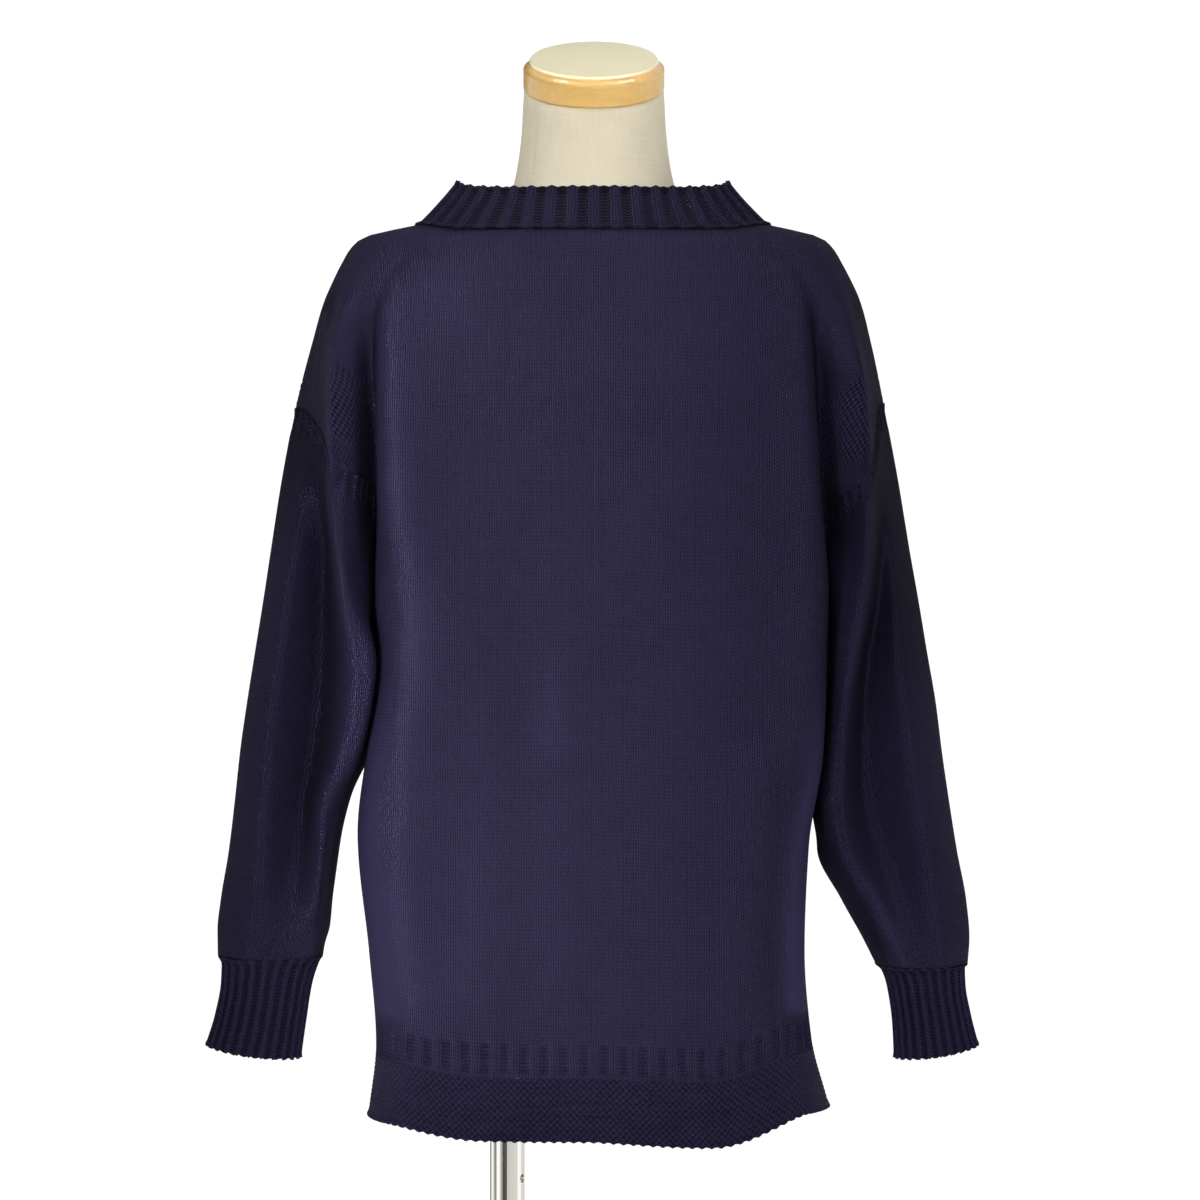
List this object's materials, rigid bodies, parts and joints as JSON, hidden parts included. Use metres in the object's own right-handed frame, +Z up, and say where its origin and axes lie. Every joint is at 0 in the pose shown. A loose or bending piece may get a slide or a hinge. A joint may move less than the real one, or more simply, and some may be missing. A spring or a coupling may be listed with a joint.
{
  "type": "guernsey fisherman sweater on a limbless dress form",
  "caption": "Navy knitted guernsey sweater with funnel collar, dropped shoulders and split welts, worn open and hollow by a limbless dress form on a pole and round base.",
  "frame": {"origin": "centre of the base plate's underside, on the floor", "axes": "+Z up; the sweater's front faces -Y; +X is towards the wearer's left sleeve"},
  "size_m": [0.5751, 0.38, 1.0379],
  "materials": {
    "wool": "matt five-ply worsted wool, close stockinette with ribbed, garter and seed stitch parts, slight fuzz",
    "linen": "unbleached plain-weave linen, taut, matt",
    "beech": "honey-coloured turned wood, satin lacquer",
    "chrome": "polished plated tube",
    "steel": "fine satin plate with softened edge"
  },
  "bodies": {
    "root": {"front_panel": "wool", "back_panel": "wool", "front_welt": "wool", "back_welt": "wool", "left_sleeve": "wool", "right_sleeve": "wool", "left_cuff": "wool", "right_cuff": "wool", "left_gusset": "wool", "right_gusset": "wool", "collar": "wool", "form_torso": "linen", "neck_cap": "beech", "pole": "chrome", "base_plate": "steel"}
  },
  "joints": []
}
